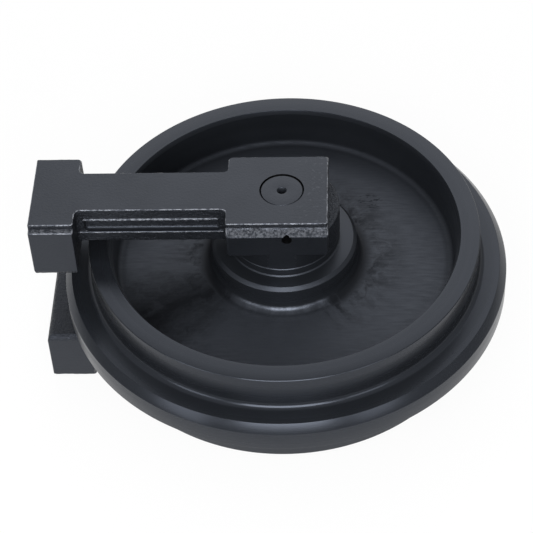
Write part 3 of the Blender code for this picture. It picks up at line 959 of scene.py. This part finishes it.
def wearEdges(piece):
    # Chamfers the outer edges; the chamfers high up and by the lips keep the worn finish, whose light bare
    # patches are partly a painted highlight
    w = wear
    selectOnly(piece)
    bpy.ops.object.mode_set(mode="EDIT")
    bpy.ops.mesh.select_mode(type="EDGE")
    bpy.ops.mesh.select_all(action="DESELECT")
    work = bmesh.from_edit_mesh(piece.data)
    for edge in work.edges:
        middle = fromMiddle((edge.verts[0].co + edge.verts[1].co) / 2)
        fromAxis = math.hypot(middle.x, middle.y)
        onBoss = fromAxis < w["bossRadius"] and middle.z < w["bossTop"]
        onBore = fromAxis < w["boreRadius"]
        onPin = fromPinHole(middle) < w["pinRadius"]
        onBead = any(face.material_index == wornAndHighlit for face in edge.link_faces)
        smallestFace = min(face.calc_area() for face in edge.link_faces)
        narrow = smallestFace < w["narrowest"] * mm * edge.calc_length()
        skipped = onBoss or onBore or onPin or onBead or narrow
        edge.select = edge.calc_face_angle_signed(0) > math.radians(w["angle"]) and not skipped
    bmesh.update_edit_mesh(piece.data)
    bpy.ops.mesh.bevel(offset=w["width"] * mm, segments=1, affect="EDGES", clamp_overlap=False,
                       material=wornAndHighlit)
    bpy.ops.mesh.select_all(action="SELECT")
    bpy.ops.mesh.dissolve_degenerate(threshold=w["smallest"] * mm)
    bpy.ops.mesh.select_mode(type="FACE")
    bpy.ops.object.mode_set(mode="OBJECT")
    for face in piece.data.polygons:
        x, y, z = fromMiddle(face.center)
        nearBead = min(abs(z - bead[0]) for bead in bracket["beads"]) < w["beadHeight"]
        byBead = nearBead and abs(y) < bracket["beadY"] + w["beadSide"]
        if face.material_index == wornAndHighlit and z < w["keptAbove"] and not byBead:
            face.material_index = cast


skinLook = {
    "low": (-330, -76, 60),
    "high": (76, 76, 150),
    "step": 3.5,
    "depth": 1.3,
    "scale": 6.0,
    "detail": 2,
    "margin": 0.6,
    "smoothAngle": 34,
    "weight": 100,
}


def sliceSkin(piece):
    # A grid over the cast faces, fine enough to carry an uneven skin
    low, high, step = skinLook["low"], skinLook["high"], skinLook["step"]
    selectOnly(piece)
    bpy.ops.object.mode_set(mode="EDIT")
    for axis in range(3):
        count = int((high[axis] - low[axis]) / step)
        for i in range(1, count):
            place = [0, 0, 0]
            place[axis] = low[axis] + step * i
            normal = [0, 0, 0]
            normal[axis] = 1
            bpy.ops.mesh.select_all(action="DESELECT")
            for slot in (cast, wornAndHighlit, ledges):
                piece.active_material_index = slot
                bpy.ops.object.material_slot_select()
            cutPlace = Vector(wheelMiddle) + Vector(place) * mm
            bpy.ops.mesh.bisect(plane_co=cutPlace, plane_no=normal)
    bpy.ops.object.mode_set(mode="OBJECT")


def roughenSkin(piece):
    # Cast faces wander by a few tenths of a millimetre; machined faces and the outer limits stay put
    look = skinLook
    still = set()
    loose = set()
    for face in piece.data.polygons:
        if face.material_index in (cast, ledges):
            loose.update(face.vertices)
        elif face.material_index == machined:
            still.update(face.vertices)
    free = []
    for index in loose - still:
        x, y, z = fromMiddle(piece.data.vertices[index].co)
        if z < bracket["faceZ"] - look["margin"] and x > bracket["endX"] + look["margin"]:
            free.append(index)
    group = piece.vertex_groups.new(name="castSkin")
    group.add(free, 1.0, "REPLACE")
    skin = bpy.data.textures.new("castSkin", "CLOUDS")
    skin.noise_scale = look["scale"] * mm
    skin.noise_depth = look["detail"]
    displace = piece.modifiers.new("Skin", "DISPLACE")
    displace.texture = skin
    displace.texture_coords = "LOCAL"
    displace.vertex_group = "castSkin"
    displace.strength = look["depth"] * mm
    displace.mid_level = 0.5
    applyModifiers(piece)
    piece.vertex_groups.clear()
    bpy.ops.object.shade_smooth_by_angle(angle=math.radians(look["smoothAngle"]))
    weights = piece.modifiers.new("Weights", "WEIGHTED_NORMAL")
    weights.keep_sharp = True
    weights.weight = look["weight"]
    applyModifiers(piece)


print("brackets")
bracketUpper = copyOfNode("bracket_upper", "bracketUpper")
bracketUpper.data.materials.clear()
for finish in (smoothPaint, roughPaint, edgeWearHighlight, boreShade, ledgeWearGlint):
    bracketUpper.data.materials.append(finish)
refineRounds(bracketUpper)
addBeads(bracketUpper)
setFinishes(bracketUpper)
wearEdges(bracketUpper)
sliceSkin(bracketUpper)
roughenSkin(bracketUpper)
bracketLower = turnedOver(bracketUpper, "bracketLower")
for piece, node in ((bracketUpper, "bracket_upper"), (bracketLower, "bracket_lower")):
    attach(piece, "carrier")
    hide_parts(node)
print("bracket faces", len(bracketUpper.data.polygons))


# Floor, light and camera

floorLook = {"size": 12, "drop": 0.5 * mm, "white": 0.94, "rough": 0.9, "glow": 0.92}


def makeFloor():
    # Shows nearly white to the camera and in reflections, and keeps a soft shadow of the object
    deselectAll()
    bpy.ops.mesh.primitive_plane_add(size=floorLook["size"], location=(0, 0, -floorLook["drop"]))
    floor = bpy.context.object
    floor.name = "floor"
    material, tree, shader = newMaterial("floorPaper", (floorLook["white"],) * 3, floorLook["rough"])
    output = tree.nodes["Material Output"]
    glow = addNode(tree, "ShaderNodeEmission", Strength=1.0, Color=(1, 1, 1, 1))
    rays = addNode(tree, "ShaderNodeLightPath")
    seen = mathOf(tree, "MAXIMUM", rays.outputs["Is Camera Ray"], rays.outputs["Is Glossy Ray"])
    mix = addNode(tree, "ShaderNodeMixShader")
    tree.links.new(productOf(tree, seen, floorLook["glow"]), mix.inputs["Fac"])
    tree.links.new(shader.outputs["BSDF"], mix.inputs[1])
    tree.links.new(glow.outputs["Emission"], mix.inputs[2])
    tree.links.new(mix.outputs["Shader"], output.inputs["Surface"])
    floor.data.materials.append(material)


# low and high are the upward parts of a direction where the level starts and stops to rise
studio = {"seen": 1.0, "side": 0.42, "above": 0.6, "low": 0.1, "high": 0.9}


def makeWorld():
    # Seen white by the camera; it lights softly, more from above than from the sides
    world = bpy.data.worlds.new("studio")
    bpy.context.scene.world = world
    world.use_nodes = True
    tree = world.node_tree
    background = tree.nodes["Background"]
    background.inputs["Color"].default_value = (1, 1, 1, 1)
    direction = addNode(tree, "ShaderNodeTexCoord")
    split = addNode(tree, "ShaderNodeSeparateXYZ")
    tree.links.new(direction.outputs["Generated"], split.inputs["Vector"])
    upward = split.outputs["Z"]
    level = rangeFrom(tree, upward, studio["low"], studio["high"], studio["side"], studio["above"])
    rays = addNode(tree, "ShaderNodeLightPath")
    strength = mixOf(tree, rays.outputs["Is Camera Ray"], level, studio["seen"])
    tree.links.new(strength, background.inputs["Strength"])


lamps = {
    "back": {"direction": (0.05, 0.787, 0.615), "distance": 3, "wide": 2.6, "high": 2.1, "watts": 21},
    "front": {"direction": (0.0, -0.768, 0.64), "distance": 3.2, "wide": 2.0, "high": 1.45, "watts": 78},
    "left": {"direction": (-0.66, -0.66, 0.45), "distance": 2.6, "wide": 0.9, "high": 0.9, "watts": 9},
    "right": {"direction": (0.6, -0.7, 0.5), "distance": 2.6, "wide": 0.8, "high": 0.8, "watts": 6},
}


def makeLamp(name, look):
    aim = Vector((0, 0, midZ))
    direction = Vector(look["direction"]).normalized()
    bpy.ops.object.light_add(type="AREA", location=aim + direction * look["distance"])
    lamp = bpy.context.object
    lamp.name = name
    lamp.rotation_euler = direction.to_track_quat("Z", "Y").to_euler()
    lamp.data.shape = "RECTANGLE"
    lamp.data.size = look["wide"]
    lamp.data.size_y = look["high"]
    lamp.data.energy = look["watts"]


view = {
    "azimuth": 4.221,
    "elevation": 47.139,
    "roll": -3.529,
    "position": (106.2, -1790.1, 1937.4),  # millimetres from the wheel's middle
    "lens": 131.35,
    "sensor": 36,
}


def makeCamera():
    turn = Matrix.Rotation(math.radians(view["azimuth"]), 3, "Z")
    tilt = Matrix.Rotation(math.radians(90 - view["elevation"]), 3, "X")
    roll = Matrix.Rotation(math.radians(view["roll"]), 3, "Z")
    place = Vector(wheelMiddle) + Vector(view["position"]) * mm
    bpy.ops.object.camera_add(location=place, rotation=(turn @ tilt @ roll).to_euler())
    camera = bpy.context.object
    camera.data.lens = view["lens"]
    camera.data.sensor_width = view["sensor"]
    bpy.context.scene.camera = camera


print("studio")
makeFloor()
makeWorld()
for lampName, lampLook in lamps.items():
    makeLamp(lampName, lampLook)
makeCamera()
bpy.context.scene.view_settings.view_transform = "Standard"
